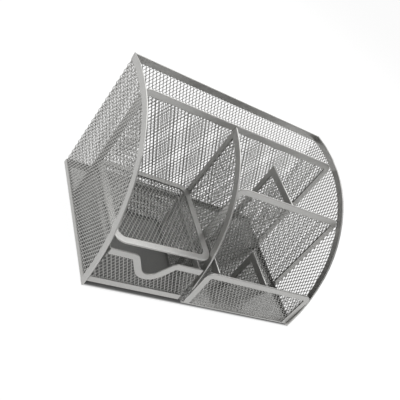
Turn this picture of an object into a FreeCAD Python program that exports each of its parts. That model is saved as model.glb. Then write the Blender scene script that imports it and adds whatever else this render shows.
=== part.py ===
import FreeCAD, Part
import math
import os

# Desk organizer of steel mesh with folded steel edging, and one drawer that slides out to the front.
# Lengths are in millimetres. Places are measured from the left end, the front and the table,
# and the finished pieces are moved so that the origin is the bottom centre.

# Overall frame
width = 222.0
depth = 145.5

# Side curve of the end panels: an upright foot, then three arcs that run into each other
foot_rise = 6.9
lower_radius = 152.0
lower_turn = math.radians(21.4)
middle_radius = 108.0
middle_turn = math.radians(58.2)
upper_radius = 171.0

# Mesh sheet, and the nets of diamond gaps in the outer sheets and in the smaller inner ones.
# The diamonds are narrow across and long upwards, or long to the back in a level sheet.
mesh_thickness = 0.8
outer_short_pitch = 10.8
outer_long_pitch = 19.2
outer_strand = 2.7
inner_short_pitch = 8.1
inner_long_pitch = 14.4
inner_strand = 2.1
net_border = 0.6

# Folded edging over the edges of the mesh
edging_leg = 0.4
edging_width = 6.4
edging_thickness = mesh_thickness + 2 * edging_leg
fold_round = 0.5
rail_height = 4.3

# Base: a plain sheet, and the low hem in front of it that the front panel stands on
base_lift = 1.0
base_thickness = 0.8
hem_front = 2.6
hem_depth = 5.0

# Upright panels: middle planes and how far their tops lie under the side curve
partition_place = 96.0
partition_inset = 2.8
rear_divider_place = 99.6
rear_divider_drop = 2.0
middle_panel_place = 43.6
middle_panel_drop = 1.0
front_panel_place = 3.1
front_panel_top = 42.5
panel_inner_corner = 1.6

# Small dividers of the right half
middle_divider_place = 159.0
middle_divider_drop = 1.0
front_divider_place = 160.0
slot_divider_place = 107.0
front_divider_rise = 1.5

# Tray over the drawer: a level framed sheet whose front edge runs back towards the partition
tray_top = 50.4
tray_left_front = 4.0
tray_right_front = 7.4
tray_inner_corner = 5.6

# Drawer and its running gaps
drawer_left_gap = 2.3
drawer_right_gap = 4.5
drawer_rear_gap = 2.3
drawer_under_gap = 0.3
drawer_front_place = 4.1
drawer_front_top = 42.1
drawer_edging_width = 6.0
drawer_bottom_edging = 6.0
drawer_floor_thickness = 0.8
drawer_wall_top = 40.0
drawer_wall_edging = 4.5
dip_offset = -0.5
dip_depth = 18.5
dip_bottom_radius = 9.0
dip_inner_shoulder = 2.0
dip_slope = math.radians(55.0)

# Worked out from the sizes above
end_inner = edging_thickness
right_end_inner = width - edging_thickness
back_inner = depth - edging_thickness
base_top = base_lift + base_thickness
hem_back = hem_front + hem_depth
partition_left = partition_place - edging_thickness / 2
partition_right = partition_place + edging_thickness / 2
rear_divider_front = rear_divider_place - edging_thickness / 2
middle_panel_front = middle_panel_place - edging_thickness / 2
middle_panel_back = middle_panel_place + edging_thickness / 2
front_panel_back = front_panel_place + edging_thickness / 2

drawer_left = end_inner + drawer_left_gap
drawer_right = partition_left - drawer_right_gap
drawer_bottom = base_top + drawer_under_gap
drawer_floor_top = drawer_bottom + drawer_floor_thickness
drawer_front_back = drawer_front_place + edging_thickness / 2
drawer_back = rear_divider_front - drawer_rear_gap
dip_middle = (drawer_left + drawer_right) / 2 + dip_offset

outer_net = (outer_short_pitch, outer_long_pitch, outer_strand)
inner_net = (inner_short_pitch, inner_long_pitch, inner_strand)

touching = 1e-4


# Planes that the flat pieces lie in, each as a map from two lengths and a distance to a point

def side_plane(u, v, distance):
    return FreeCAD.Vector(distance, u, v)


def face_plane(u, v, distance):
    return FreeCAD.Vector(u, distance, v)


def level_plane(u, v, distance):
    return FreeCAD.Vector(u, v, distance)


# Paths: lists of runs, where two points are a line and three points are an arc

def polyline(*points):
    return [(start, end) for start, end in zip(points, points[1:])]


def box_path(u0, v0, u1, v1):
    return polyline((u0, v0), (u1, v0), (u1, v1), (u0, v1), (u0, v0))


def arc(centre, radius, start, end):
    angles = (start, (start + end) / 2, end)
    return tuple((centre[0] + radius * math.cos(a), centre[1] + radius * math.sin(a)) for a in angles)


def joined(*parts):
    """One closed path: runs and groups of runs in order, with straight lines over the breaks between them."""
    runs = [run for part in parts for run in part]
    path = []
    for run, following in zip(runs, runs[1:] + runs[:1]):
        path.append(run)
        if math.dist(run[-1], following[0]) > touching:
            path.append((run[-1], following[0]))
    return path


def backwards(path):
    return [tuple(reversed(run)) for run in reversed(path)]


def rounded_path(corners, radius):
    """Closed path round a polygon, counter-clockwise, with an arc in each corner."""
    arcs = []
    for before, corner, after in zip(corners[-1:] + corners[:-1], corners, corners[1:] + corners[:1]):
        heading = math.atan2(corner[1] - before[1], corner[0] - before[0])
        turn = (math.atan2(after[1] - corner[1], after[0] - corner[0]) - heading) % (2 * math.pi)
        reach = radius * math.tan(turn / 2)
        centre = (corner[0] - reach * math.cos(heading) - radius * math.sin(heading),
                  corner[1] - reach * math.sin(heading) + radius * math.cos(heading))
        arcs.append(arc(centre, radius, heading - math.pi / 2, heading - math.pi / 2 + turn))
    return joined(arcs)


def arch(u0, v0, u1, v1, radius):
    """Open path up one side, over the top with rounded corners, and down the other side."""
    left = arc((u0 + radius, v1 - radius), radius, math.pi, math.pi / 2)
    right = arc((u1 - radius, v1 - radius), radius, math.pi / 2, 0)
    return [((u0, v0), left[0]), left, (left[2], right[0]), right, (right[2], (u1, v0))]


# Solids made from paths

def wire(plane, distance, path):
    edges = []
    for run in path:
        points = [plane(u, v, distance) for u, v in run]
        edges.append(Part.makeLine(*points) if len(points) == 2 else Part.Arc(*points).toShape())
    return Part.Wire(edges)


def slab(plane, distance, thickness, path, gaps=()):
    outlines = [wire(plane, distance, outline) for outline in (path, *gaps)]
    face = Part.makeFace(outlines, "Part::FaceMakerBullseye")
    return face.extrude(plane(0, 0, thickness))


def net_gaps(plane, distance, field_path, net=inner_net):
    """Diamond gaps of the net that lie whole within a field, in staggered rows about its middle."""
    field = Part.Face(wire(plane, distance, field_path))
    us = [u for run in field_path for u, v in run]
    vs = [v for run in field_path for u, v in run]
    short_pitch, long_pitch, strand = net
    half_long = long_pitch / 2
    half_short = short_pitch / 2
    reach = half_long * half_short / math.hypot(half_long, half_short)
    share = (reach - strand / 2) / reach
    rows = math.ceil((max(vs) - min(vs)) / long_pitch)
    columns = math.ceil((max(us) - min(us)) / short_pitch)
    gaps = []
    for row in range(-rows, rows + 1):
        for column in range(-columns, columns + 1):
            u = (min(us) + max(us)) / 2 + (column + row % 2 / 2) * short_pitch
            v = (min(vs) + max(vs)) / 2 + row * half_long
            corners = ((u - half_short * share, v), (u, v - half_long * share),
                       (u + half_short * share, v), (u, v + half_long * share))
            if all(field.isInside(plane(*corner, distance), touching, True) for corner in corners):
                gaps.append(polyline(*corners, corners[0]))
    return gaps


def soften(solid, lines):
    """Round the edges of a solid that lie on given wires, as folded sheet is round along its fold."""
    folds = []
    for edge in solid.Edges:
        middle = Part.Vertex(edge.valueAt((edge.FirstParameter + edge.LastParameter) / 2))
        if min(middle.distToShape(line)[0] for line in lines) < touching:
            folds.append(edge)
    return solid.makeFillet(fold_round, folds)


def edging(plane, distance, outer, inner, sheets):
    """Folded strip between an outer and an inner open path, with room for the mesh that it holds."""
    strip = slab(plane, distance, edging_thickness, joined(outer, backwards(inner)))
    folds = [wire(plane, distance + rise, outer) for rise in (0, edging_thickness)]
    return soften(strip, folds).cut(sheets)


def bar(u0, v0, u1, v1):
    """Outer and inner path of a level strip whose fold is along its top."""
    return polyline((u0, v1), (u1, v1)), polyline((u0, v0), (u1, v0))


# Side curve

def curve_arcs():
    """Centre, radius and the turns at the ends of each arc of the side curve."""
    turns = (0.0, lower_turn, lower_turn + middle_turn, math.pi)
    radii = (lower_radius, middle_radius, upper_radius)
    centre = (lower_radius, foot_rise)
    arcs = []
    for k, radius in enumerate(radii):
        if k:
            step = radii[k - 1] - radius
            centre = (centre[0] - step * math.cos(turns[k]), centre[1] + step * math.sin(turns[k]))
        arcs.append((centre, radius, turns[k], turns[k + 1]))
    return arcs


def side_curve(inset, bottom, back):
    """Open path of the side curve, moved inwards, from a height above the table to a depth."""
    path = [((inset, bottom), (inset, foot_rise))]
    for centre, radius, start, end in curve_arcs():
        reach = (centre[0] - back) / (radius - inset)
        stop = min(end, math.acos(reach)) if abs(reach) < 1 else end
        path.append(arc(centre, radius - inset, math.pi - start, math.pi - stop))
        if stop < end:
            break
    return path


def curve_height(back):
    return side_curve(0, 0, back)[-1][-1][1]


back_top = curve_height(depth)
rear_divider_top = curve_height(rear_divider_place) - rear_divider_drop
middle_panel_top = curve_height(middle_panel_place) - middle_panel_drop
middle_divider_top = middle_panel_top - middle_divider_drop
front_divider_top = front_panel_top + front_divider_rise

pieces = {}


# Frame: back, ends and base

def back_sheet(gaps=()):
    outline = box_path(edging_leg, edging_leg, width - edging_leg, back_top - edging_leg)
    return slab(face_plane, back_inner + edging_leg, mesh_thickness, outline, gaps)


def back_panel():
    field = box_path(end_inner + net_border, rail_height + net_border,
                     right_end_inner - net_border, back_top - edging_width - net_border)
    pieces["back_mesh"] = back_sheet(net_gaps(face_plane, back_inner + edging_leg, field, outer_net))
    top_strip = bar(end_inner, back_top - edging_width, right_end_inner, back_top)
    base_strip = bar(end_inner, 0, right_end_inner, rail_height)
    pieces["back_top_rim"] = edging(face_plane, back_inner, *top_strip, [back_sheet()])
    pieces["back_base_rail"] = edging(face_plane, back_inner, *reversed(base_strip), [back_sheet()])


def end_panel(side, outer_face):
    """Curved mesh panel with its curved rim and the rail that it stands on."""
    sheet_face = outer_face + edging_leg
    sheet_back = back_inner + edging_leg

    def outline(inset, bottom, back):
        return joined(side_curve(inset, bottom, back), [((back, bottom), (inset, bottom))])

    sheet_path = outline(edging_leg, edging_leg, sheet_back)
    field = outline(edging_width + net_border, rail_height + net_border, sheet_back - net_border)
    sheets = [slab(side_plane, sheet_face, mesh_thickness, sheet_path), back_sheet()]
    pieces[side + "_end_mesh"] = slab(side_plane, sheet_face, mesh_thickness, sheet_path,
                                      net_gaps(side_plane, sheet_face, field, outer_net))
    pieces[side + "_end_rim"] = edging(side_plane, outer_face, side_curve(0, 0, depth),
                                       side_curve(edging_width, 0, depth), sheets)
    rail = bar(edging_width, 0, depth, rail_height)
    pieces[side + "_base_rail"] = edging(side_plane, outer_face, *reversed(rail), sheets)


def base():
    sheet_path = box_path(end_inner, hem_back, right_end_inner, back_inner)
    hem_path = box_path(partition_left, hem_front, right_end_inner, hem_back)
    pieces["base_sheet"] = slab(level_plane, base_lift, base_thickness, sheet_path)
    pieces["base_front_hem"] = slab(level_plane, 0, base_top, hem_path)


# Upright panels inside the frame

def centre_partition():
    sheet_face = partition_left + edging_leg

    def frame_line(inset, bottom=base_top):
        """Up the curve, moved inwards, and down the rear edge."""
        curve = side_curve(partition_inset + inset, bottom, rear_divider_front - inset)
        rear_top = curve[-1][-1]
        return curve + [(rear_top, (rear_top[0], bottom))]

    sheet_path = joined(frame_line(edging_leg))
    field = joined(frame_line(edging_width + net_border, base_top + net_border))
    pieces["centre_partition_mesh"] = slab(side_plane, sheet_face, mesh_thickness, sheet_path,
                                           net_gaps(side_plane, sheet_face, field))
    pieces["centre_partition_rim"] = edging(side_plane, partition_left, frame_line(0), frame_line(edging_width),
                                            [slab(side_plane, sheet_face, mesh_thickness, sheet_path)])


def framed_panel(name, left, right, place, top):
    """Mesh panel that stands on the base, with edging over its top and sides and rounded corners."""
    face = place - edging_thickness / 2
    corner = panel_inner_corner + edging_width

    def frame_line(inset):
        return arch(left + inset, base_top, right - inset, top - inset, corner - inset)

    sheet_path = joined(frame_line(edging_leg))
    field = box_path(left + edging_width + net_border, base_top + net_border,
                     right - edging_width - net_border, top - edging_width - net_border)
    pieces[name + "_mesh"] = slab(face_plane, face + edging_leg, mesh_thickness, sheet_path,
                                  net_gaps(face_plane, face + edging_leg, field))
    sheet = slab(face_plane, face + edging_leg, mesh_thickness, sheet_path)
    pieces[name + "_rim"] = edging(face_plane, face, frame_line(0), frame_line(edging_width), [sheet])


def small_divider(name, place, front, back, top):
    """Short divider across a bay, with edging on its top and its rear edge."""
    face = place - edging_thickness / 2
    sheet_path = box_path(front, base_top, back - edging_leg, top - edging_leg)
    field = box_path(front + net_border, base_top + net_border,
                     back - edging_width - net_border, top - edging_width - net_border)
    pieces[name + "_mesh"] = slab(side_plane, face + edging_leg, mesh_thickness, sheet_path,
                                  net_gaps(side_plane, face + edging_leg, field))
    sheet = slab(side_plane, face + edging_leg, mesh_thickness, sheet_path)
    inner_back = back - edging_width
    inner_top = top - edging_width
    pieces[name + "_rim"] = edging(side_plane, face, polyline((front, top), (back, top), (back, base_top)),
                                   polyline((front, inner_top), (inner_back, inner_top),
                                            (inner_back, base_top)), [sheet])


def tray():
    """Level mesh sheet with edging all round, between the meshes of the bay over the drawer."""
    left = end_inner - edging_leg
    right = partition_left + edging_leg
    back = rear_divider_place - mesh_thickness / 2
    slant = math.atan2(tray_right_front - tray_left_front, right - left)
    bottom = tray_top - edging_thickness

    def outline(inset):
        front_step = inset / math.cos(slant)
        side_step = inset * math.tan(slant)
        corners = [(left + inset, tray_left_front + front_step + side_step),
                   (right - inset, tray_right_front + front_step - side_step),
                   (right - inset, back - inset), (left + inset, back - inset)]
        return rounded_path(corners, tray_inner_corner + edging_width - inset)

    sheet_path = outline(edging_leg)
    pieces["tray_mesh"] = slab(level_plane, bottom + edging_leg, mesh_thickness, sheet_path,
                               net_gaps(level_plane, bottom + edging_leg, outline(edging_width + net_border)))
    strip = slab(level_plane, bottom, edging_thickness, outline(0), [outline(edging_width)])
    folds = [wire(level_plane, bottom + rise, outline(0)) for rise in (0, edging_thickness)]
    neighbours = [pieces[name] for name in ("left_end_rim", "centre_partition_rim", "rear_divider_rim")]
    sheet = slab(level_plane, bottom + edging_leg, mesh_thickness, sheet_path)
    pieces["tray_rim"] = soften(strip, folds).cut([sheet, *neighbours])


# Drawer

def dip_edge(inset):
    """Open path along the top of the drawer front, down into the finger dip and out again."""
    top = drawer_front_top - inset
    shoulder = dip_inner_shoulder + drawer_edging_width - inset
    bottom = dip_bottom_radius + inset
    slope_drop = dip_depth - (shoulder + bottom) * (1 - math.cos(dip_slope))
    slope_run = slope_drop / math.tan(dip_slope)
    shoulder_reach = (shoulder + bottom) * math.sin(dip_slope) + slope_run
    upright = math.pi / 2
    left = arc((dip_middle - shoulder_reach, top - shoulder), shoulder, upright, upright - dip_slope)
    low = arc((dip_middle, top - dip_depth + bottom), bottom, -upright - dip_slope, -upright + dip_slope)
    right = arc((dip_middle + shoulder_reach, top - shoulder), shoulder, upright + dip_slope, upright)
    return [((drawer_left, top), left[0]), left, (left[2], low[0]), low, (low[2], right[0]), right,
            (right[2], (drawer_right, top))]


def drawer_front():
    face = drawer_front_place - edging_thickness / 2

    def outline(inset, bottom, side_inset):
        top_line = dip_edge(inset)
        left = drawer_left + side_inset
        right = drawer_right - side_inset
        top = drawer_front_top - inset
        runs = [((left, top), top_line[0][1]), *top_line[1:-1], (top_line[-1][0], (right, top))]
        return joined(runs, [((right, bottom), (left, bottom))])

    sheet_path = outline(edging_leg, drawer_bottom + edging_leg, 0)
    field = outline(drawer_edging_width + net_border, drawer_bottom + drawer_bottom_edging + net_border,
                    net_border)
    pieces["drawer_front_mesh"] = slab(face_plane, face + edging_leg, mesh_thickness, sheet_path,
                                       net_gaps(face_plane, face + edging_leg, field))
    sheet = slab(face_plane, face + edging_leg, mesh_thickness, sheet_path)
    pieces["drawer_front_top_rim"] = edging(face_plane, face, dip_edge(0), dip_edge(drawer_edging_width),
                                            [sheet])
    strip = bar(drawer_left, drawer_bottom, drawer_right, drawer_bottom + drawer_bottom_edging)
    pieces["drawer_front_bottom_rim"] = edging(face_plane, face, *reversed(strip), [sheet])


def drawer_wall(name, plane, face, start, end):
    """Upright mesh wall on the drawer's floor, with edging along its top."""
    sheet_path = box_path(start, drawer_floor_top, end, drawer_wall_top - edging_leg)
    field = box_path(start + net_border, drawer_floor_top + net_border,
                     end - net_border, drawer_wall_top - drawer_wall_edging - net_border)
    pieces[name + "_mesh"] = slab(plane, face + edging_leg, mesh_thickness, sheet_path,
                                  net_gaps(plane, face + edging_leg, field))
    sheet = slab(plane, face + edging_leg, mesh_thickness, sheet_path)
    strip = bar(start, drawer_wall_top - drawer_wall_edging, end, drawer_wall_top)
    pieces[name + "_rim"] = edging(plane, face, *strip, [sheet])


def drawer_body():
    pieces["drawer_floor"] = slab(level_plane, drawer_bottom, drawer_floor_thickness,
                                  box_path(drawer_left, drawer_front_back, drawer_right, drawer_back))
    right_face = drawer_right - edging_thickness
    drawer_wall("drawer_left_wall", side_plane, drawer_left, drawer_front_back, drawer_back)
    drawer_wall("drawer_right_wall", side_plane, right_face, drawer_front_back, drawer_back)
    drawer_wall("drawer_back_wall", face_plane, drawer_back - edging_thickness,
                drawer_left + edging_thickness, right_face)


back_panel()
end_panel("left", 0.0)
end_panel("right", right_end_inner)
base()
centre_partition()
framed_panel("rear_divider", end_inner, right_end_inner, rear_divider_place, rear_divider_top)
framed_panel("middle_panel", partition_right, right_end_inner, middle_panel_place, middle_panel_top)
framed_panel("front_panel", partition_right, right_end_inner, front_panel_place, front_panel_top)
small_divider("middle_divider", middle_divider_place, middle_panel_back, rear_divider_front,
              middle_divider_top)
small_divider("front_divider", front_divider_place, front_panel_back, middle_panel_front, front_divider_top)
small_divider("slot_divider", slot_divider_place, front_panel_back, middle_panel_front, front_divider_top)
tray()
drawer_front()
drawer_body()

os.makedirs("parts", exist_ok=True)
for name, shape in pieces.items():
    shape.translate(FreeCAD.Vector(-width / 2, -depth / 2, 0))
    shape.exportStep("parts/" + name + ".step")
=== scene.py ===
import bmesh
import bpy
import math
from mathutils import Matrix, Vector


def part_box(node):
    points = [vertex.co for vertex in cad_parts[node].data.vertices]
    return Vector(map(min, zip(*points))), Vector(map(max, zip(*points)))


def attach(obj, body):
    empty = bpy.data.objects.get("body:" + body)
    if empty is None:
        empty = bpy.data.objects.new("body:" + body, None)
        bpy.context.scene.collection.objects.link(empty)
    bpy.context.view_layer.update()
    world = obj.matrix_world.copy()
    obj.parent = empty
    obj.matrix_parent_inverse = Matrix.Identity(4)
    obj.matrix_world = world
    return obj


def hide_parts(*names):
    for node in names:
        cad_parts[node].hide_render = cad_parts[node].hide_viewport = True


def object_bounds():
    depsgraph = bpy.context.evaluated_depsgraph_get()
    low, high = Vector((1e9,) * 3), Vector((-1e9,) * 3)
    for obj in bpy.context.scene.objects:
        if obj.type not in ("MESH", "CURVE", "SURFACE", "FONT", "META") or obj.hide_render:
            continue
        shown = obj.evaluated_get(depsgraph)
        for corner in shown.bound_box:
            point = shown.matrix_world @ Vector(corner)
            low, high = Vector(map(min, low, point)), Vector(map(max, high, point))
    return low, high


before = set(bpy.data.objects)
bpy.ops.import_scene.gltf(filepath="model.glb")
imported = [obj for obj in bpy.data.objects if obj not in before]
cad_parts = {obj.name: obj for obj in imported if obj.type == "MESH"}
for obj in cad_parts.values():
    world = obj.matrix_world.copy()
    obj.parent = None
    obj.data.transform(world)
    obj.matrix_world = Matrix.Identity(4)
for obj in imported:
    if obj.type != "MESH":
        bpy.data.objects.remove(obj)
cad_low, cad_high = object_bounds()
scene = bpy.context.scene
scene.view_settings.view_transform = "Standard"

# Expanded mesh: diamonds narrow across and long upwards, with rounded gaps and tilted strands
net_short_way = 0.0036
net_long_way = 0.0064
gap_half_width = 0.00141
gap_half_length = 0.00258
gap_fullness = 1.08
gap_side_reach = 0.55
strand_tilt = math.radians(14)
left_end_tilt = math.radians(-4)
net_thickness = 0.0004

# Folded strips: sheet, roundness of the folds and of the leg edges, and the fineness of bends
strip_sheet = 0.00045
fold_round = 0.0006
fold_shoulder = 0.0010
leg_end = 0.0005
rail_mouth = 0.4
leg_edge_round = 0.00012
leg_edge_paleness = 0.6
bend_step = math.radians(6)
fold_limit = math.radians(50)
smooth_limit = math.radians(40)
corner_steps = 6
strip_width = 0.0064
arch_strip_width = 0.0060
drawer_strip_width = 0.0060

# Side curve of the ends and of the partition: an upright foot and three arcs that run into each other
foot_rise = 0.0069
curve_radii = (0.152, 0.108, 0.171)
curve_turns = (0.0, math.radians(21.4), math.radians(79.6), math.pi)
partition_inset = 0.0028
net_inset = 0.0012

# Framed panels and tray
panel_corner = 0.0080
panel_right_gaps = {"rear_divider": 0.0020, "middle_panel": 0.0020, "front_panel": 0.0005}
tray_corner = 0.0120
tray_left_front = cad_low.y + 0.0040
tray_right_front = cad_low.y + 0.0074

# Drawer floor and base
pan_sheet = 0.0005
pan_fold = 0.0012
drawer_floor_rise = 0.0040
base_rise = 0.0055

# Finger dip of the drawer
dip_offset = -0.0005
dip_depth = 0.0185
dip_bottom_radius = 0.0090
dip_shoulder_radius = 0.0080
dip_slope = math.radians(55)

# Powder coat: scales of its textures, shares of its tone, and depth of its orange peel
cloud_scale = 28
cloud_detail = 3
cloud_range = (0.3, 0.7)
cloud_tones = (0.95, 1.04)
flake_scale = 2600
flake_tones = (0.92, 1.08)
# The strips' colour is made paler by a tenth at the crowns of their folds, and somewhat less at their leg
# edges
fold_tones = (1.0, 1.10)
gloss_spread = 0.06
peel_scale = 1400
peel_detail = 2
peel_strength = 0.25
peel_depth = 0.00004

# Studio: levels of the surround and the floor as light, and what is added where they are seen or mirrored
studio_horizon = 0.15
studio_zenith = 0.3
studio_rear_lift = 0.70
studio_front_lift = 0.0
sweep_front = -0.6
sweep_rear = 0.4
floor_size = 30
floor_tone = 0.25
floor_lift = 0.9
floor_mirror_lift = 0.85
# Painted contact shadow: the floor's lift for the camera ramps up from this far inside the footprint's edge
# to this far outside it
painted_shadow_inside = 0.0025
painted_shadow_outside = 0.0008

# Softboxes: place, size and power
softboxes = {
    "overhead_softbox": ((-0.1, -0.1, 1.2), 1.0, 3.5),
    "rear_softbox": ((0.45, 0.55, 1.0), 1.0, 3),
    "left_softbox": ((-1.0, -0.9, 0.5), 0.8, 2),
}

# Photograph's view
camera_place = Vector((-0.3195, -0.3769, 0.3348))
camera_direction = Vector((0.56249, 0.67213, -0.48151))
camera_roll = math.radians(40.2)
camera_lens = 56.13
camera_shift = (-0.0333, -0.0019)
sensor_width = 36
nearest_seen = 0.01

tiny = 1e-6
weld_gap = 10 * tiny
mitre_weld_gap = 20 * tiny


# Modelling helpers

def deselect():
    bpy.ops.object.select_all(action="DESELECT")


def choose(piece):
    deselect()
    piece.select_set(True)
    bpy.context.view_layer.objects.active = piece


def settle(piece):
    """Applies a piece's place and turn, so that it lies at the origin unturned."""
    choose(piece)
    bpy.ops.object.transform_apply(location=True, rotation=True, scale=True)


def edit(piece):
    choose(piece)
    bpy.ops.object.mode_set(mode="EDIT")
    bpy.ops.mesh.select_mode(type="VERT")


def leave_edit():
    bpy.ops.object.mode_set(mode="OBJECT")


def pick(test):
    """Selects the vertices of the piece in edit mode whose place passes a test."""
    bpy.ops.mesh.select_all(action="DESELECT")
    mesh = bmesh.from_edit_mesh(bpy.context.object.data)
    for vertex in mesh.verts:
        vertex.select = test(vertex.co)
    mesh.select_flush(True)
    bmesh.update_edit_mesh(bpy.context.object.data)


def modify(piece, kind, **settings):
    """Adds a modifier to a piece and applies it."""
    choose(piece)
    modifier = piece.modifiers.new(kind.lower(), kind)
    for setting, value in settings.items():
        setattr(modifier, setting, value)
    bpy.ops.object.modifier_apply(modifier=modifier.name)


def copy_of(piece, name):
    copied = piece.copy()
    copied.data = piece.data.copy()
    copied.name = name
    scene.collection.objects.link(copied)
    return copied


def stand(piece, plane, place):
    """Turns a piece that was modelled flat into its plane, moves it there and settles it at the origin."""
    quarter = math.pi / 2
    turns = {"level": (0, 0, 0), "face": (quarter, 0, 0), "side": (quarter, 0, quarter)}
    piece.rotation_euler = turns[plane]
    piece.location = place
    settle(piece)


def fold_sheet(piece, fold, thickness):
    """Rounds the folds of a piece, gives it the thickness of its sheet and eases its edges."""
    modify(piece, "BEVEL", width=fold, segments=3, limit_method="ANGLE", angle_limit=fold_limit)
    modify(piece, "SOLIDIFY", thickness=thickness, offset=-1, use_even_offset=True)
    modify(piece, "BEVEL", width=leg_edge_round, segments=2, limit_method="ANGLE", angle_limit=fold_limit)
    bpy.ops.object.shade_smooth_by_angle(angle=smooth_limit)


def cut_away(piece, cuts):
    """Cuts a piece with planes, each a point and the direction of the side that goes."""
    edit(piece)
    for point, outwards in cuts:
        bpy.ops.mesh.select_all(action="SELECT")
        bpy.ops.mesh.bisect(plane_co=point, plane_no=outwards, clear_outer=True)
    leave_edit()


def hand_over(piece, name, node, material):
    """Names a finished piece, gives it its finish and lets it stand for its CAD node."""
    piece.name = name
    piece.data.name = name
    piece.data.materials.clear()
    piece.data.materials.append(material)
    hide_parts(node)
    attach(piece, "drawer" if node.startswith("drawer_") else "frame")


# Node helpers

def new_material(name):
    material = bpy.data.materials.new(name)
    material.use_nodes = True
    return material, material.node_tree


def worked_out(tree, operation, *terms):
    """Result of one math step on other results and plain numbers."""
    node = tree.nodes.new("ShaderNodeMath")
    node.operation = operation
    for socket, term in zip(node.inputs, terms):
        if isinstance(term, (int, float)):
            socket.default_value = term
        else:
            tree.links.new(term, socket)
    return node.outputs["Value"]


def mapped(tree, value, to_range, from_range=(0, 1), interpolation="LINEAR"):
    """Result of bringing a value from one range to another."""
    node = tree.nodes.new("ShaderNodeMapRange")
    node.interpolation_type = interpolation
    node.inputs["From Min"].default_value, node.inputs["From Max"].default_value = from_range
    node.inputs["To Min"].default_value, node.inputs["To Max"].default_value = to_range
    tree.links.new(value, node.inputs["Value"])
    return node.outputs["Result"]


def place_parts(tree, coordinates):
    """X, Y and Z of a point, in the coordinates named."""
    place = tree.nodes.new("ShaderNodeTexCoord")
    apart = tree.nodes.new("ShaderNodeSeparateXYZ")
    tree.links.new(place.outputs[coordinates], apart.inputs["Vector"])
    return apart.outputs


# Finishes

def texture(tree, kind, scale, detail=None):
    """Outputs of a texture in the piece's own coordinates."""
    place = tree.nodes.new("ShaderNodeTexCoord")
    node = tree.nodes.new(kind)
    node.inputs["Scale"].default_value = scale
    if detail is not None:
        node.inputs["Detail"].default_value = detail
    tree.links.new(place.outputs["Object"], node.inputs["Vector"])
    return node.outputs


def silver_coat(name, tone, roughness, metal, paler_folds):
    """Silver-grey powder coat: fine flakes, a slight unevenness of tone, orange peel and paler folds."""
    material, tree = new_material(name)
    shader = tree.nodes["Principled BSDF"]
    shader.inputs["Metallic"].default_value = metal
    cloud = texture(tree, "ShaderNodeTexNoise", cloud_scale, cloud_detail)
    flakes = texture(tree, "ShaderNodeTexVoronoi", flake_scale)
    peel = texture(tree, "ShaderNodeTexNoise", peel_scale, peel_detail)

    cloud_shade = mapped(tree, cloud["Fac"], cloud_tones, cloud_range)
    flake_shade = mapped(tree, flakes["Color"], flake_tones)
    shade = worked_out(tree, "MULTIPLY", cloud_shade, flake_shade)
    # Colour made paler at the crowns of the folds and at the leg edges, following the strips' fold mark
    if paler_folds:
        fold = tree.nodes.new("ShaderNodeAttribute")
        fold.attribute_name = "fold"
        shade = worked_out(tree, "MULTIPLY", shade, mapped(tree, fold.outputs["Fac"], fold_tones))
    colour = tree.nodes.new("ShaderNodeVectorMath")
    colour.operation = "SCALE"
    colour.inputs[0].default_value = tone
    tree.links.new(shade, colour.inputs["Scale"])
    tree.links.new(colour.outputs["Vector"], shader.inputs["Base Color"])

    gloss = mapped(tree, flakes["Distance"], (roughness - gloss_spread, roughness + gloss_spread))
    tree.links.new(gloss, shader.inputs["Roughness"])
    bump = tree.nodes.new("ShaderNodeBump")
    bump.inputs["Strength"].default_value = peel_strength
    bump.inputs["Distance"].default_value = peel_depth
    tree.links.new(peel["Fac"], bump.inputs["Height"])
    tree.links.new(bump.outputs["Normal"], shader.inputs["Normal"])
    return material


net_coat = silver_coat("silver_coat_on_mesh", (0.52, 0.517, 0.502), 0.33, 0.90, False)
strip_coat = silver_coat("silver_coat_on_strips", (0.52, 0.517, 0.503), 0.35, 0.84, True)
floor_coat = silver_coat("grey_coat_on_drawer_floor", (0.30, 0.30, 0.294), 0.40, 0.75, False)
base_coat = silver_coat("grey_coat_on_base", (0.30, 0.30, 0.294), 0.16, 0.95, False)


# Expanded mesh sheets

def mesh_cell(tilt):
    """One diamond of the mesh and the staggered one beside it, flat about the origin."""
    deselect()
    bpy.ops.mesh.primitive_circle_add(vertices=8, radius=1)
    cell = bpy.context.object
    edit(cell)
    pick(lambda place: abs(place.x) > tiny and abs(place.y) > tiny)
    bpy.ops.transform.resize(value=(math.sqrt(0.5), math.sqrt(0.5), 1))
    bpy.ops.mesh.select_all(action="SELECT")
    bpy.ops.transform.resize(value=(net_short_way / 2, net_long_way / 2, 1))
    bpy.ops.mesh.extrude_edges_move()
    gap_share = (2 * gap_half_width / net_short_way, 2 * gap_half_length / net_long_way, 1)
    bpy.ops.transform.resize(value=gap_share)
    bpy.ops.transform.rotate(value=tilt, orient_axis="Y", center_override=(0, 0, 0))
    pick(lambda place: gap_half_width / 4 < abs(place.x) < gap_half_width * gap_side_reach
         and place.y != 0 and abs(place.y) < gap_half_length * gap_side_reach)
    bpy.ops.transform.resize(value=(gap_fullness, gap_fullness, gap_fullness), center_override=(0, 0, 0))
    bpy.ops.mesh.select_all(action="SELECT")
    bpy.ops.mesh.duplicate_move(TRANSFORM_OT_translate={"value": (net_short_way / 2, net_long_way / 2, 0)})
    bpy.ops.mesh.select_all(action="SELECT")
    bpy.ops.mesh.remove_doubles(threshold=weld_gap)
    bpy.ops.mesh.normals_make_consistent(inside=False)
    leave_edit()
    return cell


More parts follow.
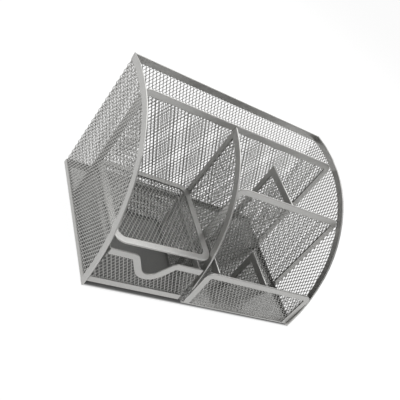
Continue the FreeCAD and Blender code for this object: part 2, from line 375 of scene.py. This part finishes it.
def net(cell, node, cuts=()):
    """Mesh sheet in the place of a CAD node, cut to its box and by further planes.

    Sheets that run from front to back, but not the right end's, are turned half round, so that their
    strands tilt the other way.
    """
    low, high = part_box(node)
    size = high - low
    thin = min(range(3), key=lambda axis: size[axis])
    plane, across, upwards = (("side", 1, 2), ("face", 0, 2), ("level", 0, 1))[thin]
    columns = math.ceil(size[across] / net_short_way) + 1
    rows = math.ceil(size[upwards] / net_long_way) + 1
    sheet = copy_of(cell, node)
    for count, step in ((columns, (net_short_way, 0, 0)), (rows, (0, net_long_way, 0))):
        modify(sheet, "ARRAY", count=count, use_relative_offset=False, use_constant_offset=True,
               constant_offset_displace=step, use_merge_vertices=True, merge_threshold=weld_gap)
    sheet.location = (-(columns - 0.5) * net_short_way / 2, -(rows - 0.5) * net_long_way / 2, 0)
    settle(sheet)
    if plane == "side" and node != "right_end_mesh":
        sheet.rotation_euler = (0, 0, math.pi)
        settle(sheet)
    stand(sheet, plane, (low + high) / 2)
    edges = []
    for axis in (across, upwards):
        outwards = Vector((0, 0, 0))
        outwards[axis] = 1
        edges += [(high, outwards), (low, -outwards)]
    cut_away(sheet, edges + list(cuts))
    return sheet


def finish_net(sheet, node):
    modify(sheet, "SOLIDIFY", thickness=net_thickness, offset=0)
    edit(sheet)
    bpy.ops.mesh.select_all(action="SELECT")
    bpy.ops.mesh.normals_make_consistent(inside=False)
    leave_edit()
    bpy.ops.object.shade_smooth()
    hand_over(sheet, node.replace("_mesh", "_net"), node, net_coat)


# Folded strips

def fold_profile(start, legs, width, thickness, mouth):
    """Open U of folded sheet at the start of a path: its crown on the path, and two legs to its mouth."""
    start = Vector((*start, 0))
    legs = Vector(legs)
    deselect()
    bpy.ops.mesh.primitive_plane_add(size=thickness, location=start + legs * thickness / 2,
                                     rotation=(math.pi / 2, 0, math.atan2(legs.y, legs.x)))
    strip = bpy.context.object
    bpy.ops.object.transform_apply(location=True, rotation=True, scale=True)
    edit(strip)
    pick(lambda place: (place - start).dot(legs) > thickness / 2)
    bpy.ops.mesh.delete(type="VERT")
    bpy.ops.mesh.select_all(action="SELECT")
    for length in (fold_shoulder, width - fold_shoulder - leg_end, leg_end):
        bpy.ops.mesh.extrude_vertices_move(TRANSFORM_OT_translate={"value": legs * length})
    bpy.ops.transform.resize(value=(1, 1, mouth), center_override=(0, 0, 0))
    leave_edit()
    # Fold mark: full at the crown, part at the leg edges, none on the legs; the coat's colour is made paler
    # where it is set
    mark = strip.data.attributes.new("fold", "FLOAT", "POINT")
    for vertex, item in zip(strip.data.vertices, mark.data):
        reach = (vertex.co - start).dot(legs)
        item.value = 1.0 if reach < tiny else leg_edge_paleness if reach > width - tiny else 0.0
    return strip


def sweep(strip, runs):
    """Carries a profile along straight runs, each two points, and arcs, each a centre and two angles."""
    edit(strip)
    bpy.ops.mesh.select_all(action="SELECT")
    for run in runs:
        if len(run) == 2:
            step = Vector((*run[1], 0)) - Vector((*run[0], 0))
            bpy.ops.mesh.extrude_edges_move(TRANSFORM_OT_translate={"value": step})
        else:
            centre, start, end = run
            steps = max(3, round(abs(end - start) / bend_step))
            bpy.ops.mesh.spin(steps=steps, angle=start - end, center=(*centre, 0), axis=(0, 0, 1))
    bpy.ops.mesh.select_all(action="SELECT")
    bpy.ops.mesh.remove_doubles(threshold=weld_gap)
    bpy.ops.mesh.normals_make_consistent(inside=False)
    leave_edit()


def finish_strip(strip, node):
    """Folds a swept strip from its sheet and hands it over."""
    fold_sheet(strip, fold_round, strip_sheet)
    hand_over(strip, node + "_strip", node, strip_coat)


def joined_at_mitre(first, second, corner, mitre):
    """Cuts two strips that meet at a corner along the plane between them and joins them."""
    cut_away(first, [(corner, mitre)])
    cut_away(second, [(corner, -mitre)])
    deselect()
    second.select_set(True)
    first.select_set(True)
    bpy.context.view_layer.objects.active = first
    bpy.ops.object.join()
    edit(first)
    bpy.ops.mesh.select_all(action="SELECT")
    bpy.ops.mesh.remove_doubles(threshold=mitre_weld_gap)
    bpy.ops.mesh.normals_make_consistent(inside=False)
    leave_edit()
    return first


def strip_along(node, plane, runs, legs, width, mouth=1):
    """Folded strip along a path in one of the three planes, as thick as its CAD node and in its place."""
    low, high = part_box(node)
    axis = ("side", "face", "level").index(plane)
    strip = fold_profile(runs[0][0], legs, width, high[axis] - low[axis], mouth)
    sweep(strip, runs)
    place = Vector((0, 0, 0))
    place[axis] = (low[axis] + high[axis]) / 2
    stand(strip, plane, place)
    return strip


# Paths

def curve_runs(front, bottom, inset, back):
    """Side curve, moved inwards, from a height to a depth: the foot and its arcs, as far as they reach."""
    runs = [((front + inset, bottom), (front + inset, foot_rise))]
    centre = Vector((front + curve_radii[0], foot_rise))
    for k, radius in enumerate(curve_radii):
        start, end = curve_turns[k], curve_turns[k + 1]
        if k:
            step = curve_radii[k - 1] - radius
            centre = centre + step * Vector((-math.cos(start), math.sin(start)))
        reach = (centre[0] - back) / (radius - inset)
        stop = min(end, math.acos(reach)) if abs(reach) < 1 else end
        runs.append((tuple(centre), math.pi - start, math.pi - stop))
        if stop < end:
            break
    return runs


def curve_cuts(front, inset, back):
    """Planes that cut a mesh sheet along the side curve."""
    cuts = []
    runs = curve_runs(front, 0, inset, back)[1:]
    for (centre, start, end), radius in zip(runs, curve_radii):
        steps = max(3, round(abs(end - start) / bend_step))
        for k in range(steps + 1):
            angle = start + (end - start) * k / steps
            outwards = Vector((0, math.cos(angle), math.sin(angle)))
            cuts.append((Vector((0, *centre)) + (radius - inset) * outwards, outwards))
    return cuts


def box_corner_cuts(low, high, radius, axes):
    """Planes that round the corners of a sheet in the plane of two axes."""
    cuts = []
    for side_a in (-1, 1):
        for side_b in (-1, 1):
            centre = Vector((low + high) / 2)
            centre[axes[0]] = (high if side_a > 0 else low)[axes[0]] - side_a * radius
            centre[axes[1]] = (high if side_b > 0 else low)[axes[1]] - side_b * radius
            for k in range(1, corner_steps):
                angle = math.pi / 2 * k / corner_steps
                outwards = Vector((0, 0, 0))
                outwards[axes[0]] = side_a * math.cos(angle)
                outwards[axes[1]] = side_b * math.sin(angle)
                cuts.append((centre + radius * outwards, outwards))
    return cuts


def arch_runs(left, bottom, right, top, radius):
    quarter = math.pi / 2
    return [((left, bottom), (left, top - radius)),
            ((left + radius, top - radius), math.pi, quarter),
            ((left + radius, top), (right - radius, top)),
            ((right - radius, top - radius), quarter, 0),
            ((right, top - radius), (right, bottom))]


def rounded_runs(corners, radius):
    """Closed path round corners given anticlockwise, from the middle of the side that leads to the first."""
    count = len(corners)
    points = [Vector(corner) for corner in corners]
    runs = []
    place = (points[-1] + points[0]) / 2
    for k in range(count):
        before = (points[k] - points[k - 1]).normalized()
        after = (points[(k + 1) % count] - points[k]).normalized()
        heading = math.atan2(before.y, before.x)
        turn = math.atan2(before.x * after.y - before.y * after.x, before.dot(after))
        reach = radius * math.tan(turn / 2)
        bend_start = points[k] - before * reach
        centre = bend_start + radius * Vector((-before.y, before.x))
        runs.append((tuple(place), tuple(bend_start)))
        runs.append((tuple(centre), heading - math.pi / 2, heading - math.pi / 2 + turn))
        place = points[k] + after * reach
    runs.append((tuple(place), tuple((points[-1] + points[0]) / 2)))
    return runs


def level_cuts(runs, radius, inset):
    """Planes that cut a level mesh sheet along a closed path, moved inwards."""
    cuts = []
    for run in runs:
        if len(run) == 2:
            along = (Vector(run[1]) - Vector(run[0])).normalized()
            outwards = Vector((along.y, -along.x, 0))
            cuts.append((Vector((*run[0], 0)) - inset * outwards, outwards))
        else:
            centre, start, end = run
            for k in range(1, corner_steps):
                angle = start + (end - start) * k / corner_steps
                outwards = Vector((math.cos(angle), math.sin(angle), 0))
                cuts.append((Vector((*centre, 0)) + (radius - inset) * outwards, outwards))
    return cuts


def dip_shape(inset):
    """Shoulder and bottom radius of the finger dip, moved inwards, and the reach of its shoulders."""
    shoulder = dip_shoulder_radius - inset
    bottom = dip_bottom_radius + inset
    slope_drop = dip_depth - (shoulder + bottom) * (1 - math.cos(dip_slope))
    reach = (shoulder + bottom) * math.sin(dip_slope) + slope_drop / math.tan(dip_slope)
    return shoulder, bottom, reach


def dip_runs(left, right, top):
    shoulder, bottom, reach = dip_shape(0)
    middle = (left + right) / 2 + dip_offset
    upright = math.pi / 2
    low_left = (middle - bottom * math.sin(dip_slope),
                top - dip_depth + bottom - bottom * math.cos(dip_slope))
    high_left = (middle - reach + shoulder * math.sin(dip_slope),
                 top - shoulder + shoulder * math.cos(dip_slope))
    low_right = (2 * middle - low_left[0], low_left[1])
    high_right = (2 * middle - high_left[0], high_left[1])
    return [((left, top), (middle - reach, top)),
            ((middle - reach, top - shoulder), upright, upright - dip_slope),
            (high_left, low_left),
            ((middle, top - dip_depth + bottom), -upright - dip_slope, -upright + dip_slope),
            (low_right, high_right),
            ((middle + reach, top - shoulder), upright + dip_slope, upright),
            ((middle + reach, top), (right, top))]


def dip_height(offset, top, inset):
    """Height of the dipped edge, moved inwards, at a distance from the middle of the dip."""
    shoulder, bottom, reach = dip_shape(inset)
    high = top - inset
    if offset >= reach:
        return high
    if offset >= reach - shoulder * math.sin(dip_slope):
        return high - shoulder + math.sqrt(shoulder ** 2 - (reach - offset) ** 2)
    if offset <= bottom * math.sin(dip_slope):
        return high - dip_depth + bottom - math.sqrt(bottom ** 2 - offset ** 2)
    rise = (offset - bottom * math.sin(dip_slope)) * math.tan(dip_slope)
    return high - dip_depth + bottom * (1 - math.cos(dip_slope)) + rise


# Plain sheets

def sheet_pan(name, node, coat, low, high, rise, turned_up):
    """Flat sheet in place of a CAD node, with those of its edges turned up whose middles pass a test."""
    deselect()
    bpy.ops.mesh.primitive_plane_add(size=1, location=((low.x + high.x) / 2, (low.y + high.y) / 2, low.z))
    pan = bpy.context.object
    pan.scale = (high.x - low.x, high.y - low.y, 1)
    bpy.ops.object.transform_apply(location=True, rotation=True, scale=True)
    edit(pan)
    bpy.ops.mesh.select_mode(type="EDGE")
    bpy.ops.mesh.select_all(action="DESELECT")
    mesh = bmesh.from_edit_mesh(pan.data)
    for edge in mesh.edges:
        edge.select = turned_up((edge.verts[0].co + edge.verts[1].co) / 2)
    bmesh.update_edit_mesh(pan.data)
    bpy.ops.mesh.extrude_edges_move(TRANSFORM_OT_translate={"value": (0, 0, rise)})
    bpy.ops.mesh.select_all(action="SELECT")
    bpy.ops.mesh.normals_make_consistent(inside=False)
    leave_edit()
    fold_sheet(pan, pan_fold, pan_sheet)
    hand_over(pan, name, node, coat)


# Frame

def ends_and_partition(cell, left_end_cell):
    for side, side_cell in (("left_end", left_end_cell), ("right_end", cell)):
        low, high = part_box(side + "_rim")
        runs = curve_runs(low.y, low.z, 0, high.y)
        finish_strip(strip_along(side + "_rim", "side", runs, (1, 0, 0), strip_width), side + "_rim")
        cuts = curve_cuts(low.y, net_inset, high.y)
        finish_net(net(side_cell, side + "_mesh", cuts), side + "_mesh")
    front = cad_low.y
    node = "centre_partition_rim"
    low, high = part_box(node)
    runs = curve_runs(front, low.z, partition_inset, high.y)
    along_curve = strip_along(node, "side", runs, (1, 0, 0), strip_width)
    centre, start, end = runs[-1]
    radius = curve_radii[len(runs) - 2] - partition_inset
    corner = Vector((0, centre[0] + radius * math.cos(end), centre[1] + radius * math.sin(end)))
    down_rear = strip_along(node, "side", [((high.y, low.z), (high.y, corner.z))], (-1, 0, 0), strip_width)
    mitre = Vector((0, math.sin(end), -math.cos(end) - 1)).normalized()
    finish_strip(joined_at_mitre(along_curve, down_rear, corner, mitre), node)
    cuts = curve_cuts(front, partition_inset + net_inset, high.y)
    finish_net(net(cell, "centre_partition_mesh", cuts), "centre_partition_mesh")


def straight_strip(node, plane, legs, mouth=1):
    """Straight folded strip whose fold lies on one edge of its CAD node's box."""
    low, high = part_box(node)
    axis = ("side", "face", "level").index(plane)
    u, v = [k for k in range(3) if k != axis]
    fold = low[v] if legs[1] > 0 else high[v]
    runs = [((low[u], fold), (high[u], fold))]
    finish_strip(strip_along(node, plane, runs, legs, high[v] - low[v], mouth), node)


def back_and_base(cell):
    finish_net(net(cell, "back_mesh"), "back_mesh")
    straight_strip("back_top_rim", "face", (0, -1, 0))
    straight_strip("back_base_rail", "face", (0, 1, 0), rail_mouth)
    straight_strip("left_base_rail", "side", (0, 1, 0), rail_mouth)
    straight_strip("right_base_rail", "side", (0, 1, 0), rail_mouth)
    low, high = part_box("base_sheet")
    sheet_pan("base_plate", "base_sheet", base_coat, low, high, base_rise,
              lambda place: place.y > low.y + tiny)
    straight_strip("base_front_hem", "level", (0, 1, 0))


def framed_panels(cell):
    """Upright panels with a strip over their top and down both sides, round at the top corners."""
    for panel, right_gap in panel_right_gaps.items():
        low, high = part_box(panel + "_mesh")
        high.x -= right_gap
        cuts = box_corner_cuts(low, high, panel_corner, (0, 2)) + [(high, Vector((1, 0, 0)))]
        finish_net(net(cell, panel + "_mesh", cuts), panel + "_mesh")
        low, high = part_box(panel + "_rim")
        runs = arch_runs(low.x, low.z, high.x - right_gap, high.z, panel_corner)
        finish_strip(strip_along(panel + "_rim", "face", runs, (1, 0, 0), arch_strip_width), panel + "_rim")


def mitred_strip(node):
    """Strip along the top of a small divider and down its rear edge, mitred at the corner."""
    low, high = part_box(node)
    top = strip_along(node, "side", [((low.y, high.z), (high.y, high.z))], (0, -1, 0), strip_width)
    rear = strip_along(node, "side", [((high.y, low.z), (high.y, high.z))], (-1, 0, 0), strip_width)
    mitre = Vector((0, 1, -1)).normalized()
    finish_strip(joined_at_mitre(top, rear, Vector((0, high.y, high.z)), mitre), node)


def small_dividers(cell):
    for divider in ("middle_divider", "front_divider", "slot_divider"):
        finish_net(net(cell, divider + "_mesh"), divider + "_mesh")
        mitred_strip(divider + "_rim")


def tray(cell):
    """Level mesh sheet with a strip all round, its front edge slightly slanted."""
    low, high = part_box("tray_rim")
    corners = [(low.x, high.y), (low.x, tray_left_front), (high.x, tray_right_front), (high.x, high.y)]
    runs = rounded_runs(corners, tray_corner)
    finish_strip(strip_along("tray_rim", "level", runs, (0, -1, 0), strip_width), "tray_rim")
    finish_net(net(cell, "tray_mesh", level_cuts(runs, tray_corner, net_inset)), "tray_mesh")


# Drawer

def drawer(cell):
    low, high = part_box("drawer_front_top_rim")
    top_runs = dip_runs(low.x, high.x, high.z)
    strip = strip_along("drawer_front_top_rim", "face", top_runs, (0, -1, 0), drawer_strip_width)
    finish_strip(strip, "drawer_front_top_rim")
    straight_strip("drawer_front_bottom_rim", "face", (0, 1, 0))

    sheet = net(cell, "drawer_front_mesh")
    middle = (low.x + high.x) / 2 + dip_offset
    edit(sheet)
    bpy.ops.mesh.select_mode(type="FACE")
    bpy.ops.mesh.select_all(action="DESELECT")
    mesh = bmesh.from_edit_mesh(sheet.data)
    for face in mesh.faces:
        place = face.calc_center_median()
        face.select = place.z > dip_height(abs(place.x - middle), high.z, drawer_strip_width / 2)
    bmesh.update_edit_mesh(sheet.data)
    bpy.ops.mesh.delete(type="FACE")
    leave_edit()
    finish_net(sheet, "drawer_front_mesh")

    for wall in ("drawer_left_wall", "drawer_right_wall", "drawer_back_wall"):
        finish_net(net(cell, wall + "_mesh"), wall + "_mesh")
        straight_strip(wall + "_rim", "face" if wall == "drawer_back_wall" else "side", (0, -1, 0))


def drawer_floor():
    low, high = (Vector(corner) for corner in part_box("drawer_floor"))
    low.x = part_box("drawer_left_wall_mesh")[1].x
    high.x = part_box("drawer_right_wall_mesh")[0].x
    high.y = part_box("drawer_back_wall_mesh")[0].y
    sheet_pan("drawer_floor_pan", "drawer_floor", floor_coat, low, high, drawer_floor_rise,
              lambda place: True)


# Stage

def stage():
    """Pale floor that is lifted to white in reflections, and for the camera clear of the footprint: held
    back over the footprint and just round it, the camera's lift paints a contact shadow there.
    """
    deselect()
    bpy.ops.mesh.primitive_plane_add(size=floor_size, location=(0, 0, 0))
    ground = bpy.context.object
    ground.name = "floor"
    material, tree = new_material("pale_floor")
    tree.nodes.remove(tree.nodes["Principled BSDF"])
    place = place_parts(tree, "Object")
    away = []
    for axis, half in (("X", cad_high.x), ("Y", cad_high.y)):
        distance = worked_out(tree, "ABSOLUTE", place[axis])
        painted_shadow_edge = (half - painted_shadow_inside, half + painted_shadow_outside)
        away.append(mapped(tree, distance, (0, 1), painted_shadow_edge, "SMOOTHSTEP"))
    # Painted contact shadow: no lift for the camera over the footprint, full lift just outside it
    clear = worked_out(tree, "MAXIMUM", *away)
    rays = tree.nodes.new("ShaderNodeLightPath").outputs
    seen = worked_out(tree, "MULTIPLY", rays["Is Camera Ray"], clear)
    seen_lift = worked_out(tree, "MULTIPLY", seen, floor_lift)
    mirrored = worked_out(tree, "MAXIMUM", rays["Is Glossy Ray"], rays["Is Transmission Ray"])
    lift = worked_out(tree, "MULTIPLY_ADD", mirrored, floor_mirror_lift, seen_lift)
    matt = tree.nodes.new("ShaderNodeBsdfDiffuse")
    matt.inputs["Color"].default_value = (floor_tone, floor_tone, floor_tone, 1)
    glow = tree.nodes.new("ShaderNodeEmission")
    tree.links.new(lift, glow.inputs["Strength"])
    both = tree.nodes.new("ShaderNodeAddShader")
    tree.links.new(matt.outputs["BSDF"], both.inputs[0])
    tree.links.new(glow.outputs["Emission"], both.inputs[1])
    tree.links.new(both.outputs["Shader"], tree.nodes["Material Output"].inputs["Surface"])
    ground.data.materials.append(material)


def backdrop():
    """Soft light all round, brighter overhead: white where it is seen, mirrored as a pale sweep behind."""
    world = bpy.data.worlds.new("white_studio")
    scene.world = world
    world.use_nodes = True
    tree = world.node_tree
    place = place_parts(tree, "Generated")
    level = mapped(tree, place["Z"], (studio_horizon, studio_zenith))
    sweep_lift = mapped(tree, place["Y"], (studio_front_lift, studio_rear_lift), (sweep_front, sweep_rear))
    rays = tree.nodes.new("ShaderNodeLightPath").outputs
    mirrored = worked_out(tree, "MULTIPLY_ADD", rays["Is Glossy Ray"], sweep_lift, level)
    seen = worked_out(tree, "MAXIMUM", rays["Is Camera Ray"], rays["Is Transmission Ray"])
    sky = tree.nodes["Background"]
    sky.inputs["Color"].default_value = (1, 1, 1, 1)
    tree.links.new(worked_out(tree, "MAXIMUM", seen, mirrored), sky.inputs["Strength"])


def softbox(name, place, size, power):
    lamp = bpy.data.lights.new(name, "AREA")
    lamp.shape = "SQUARE"
    lamp.size = size
    lamp.energy = power
    holder = bpy.data.objects.new(name, lamp)
    holder.location = place
    holder.rotation_euler = (-Vector(place)).to_track_quat("-Z", "Y").to_euler()
    scene.collection.objects.link(holder)


def camera():
    lens = bpy.data.cameras.new("camera")
    lens.lens = camera_lens
    lens.sensor_width = sensor_width
    lens.shift_x, lens.shift_y = camera_shift
    lens.clip_start = nearest_seen
    holder = bpy.data.objects.new("camera", lens)
    upright = camera_direction.to_track_quat("-Z", "Y").to_matrix()
    holder.rotation_euler = (upright @ Matrix.Rotation(camera_roll, 3, "Z")).to_euler()
    holder.location = camera_place
    scene.collection.objects.link(holder)
    scene.camera = holder


cell = mesh_cell(strand_tilt)
left_end_cell = mesh_cell(left_end_tilt)
ends_and_partition(cell, left_end_cell)
back_and_base(cell)
framed_panels(cell)
small_dividers(cell)
tray(cell)
drawer(cell)
drawer_floor()
bpy.data.objects.remove(cell)
bpy.data.objects.remove(left_end_cell)

stage()
backdrop()
for name, settings in softboxes.items():
    softbox(name, *settings)
camera()
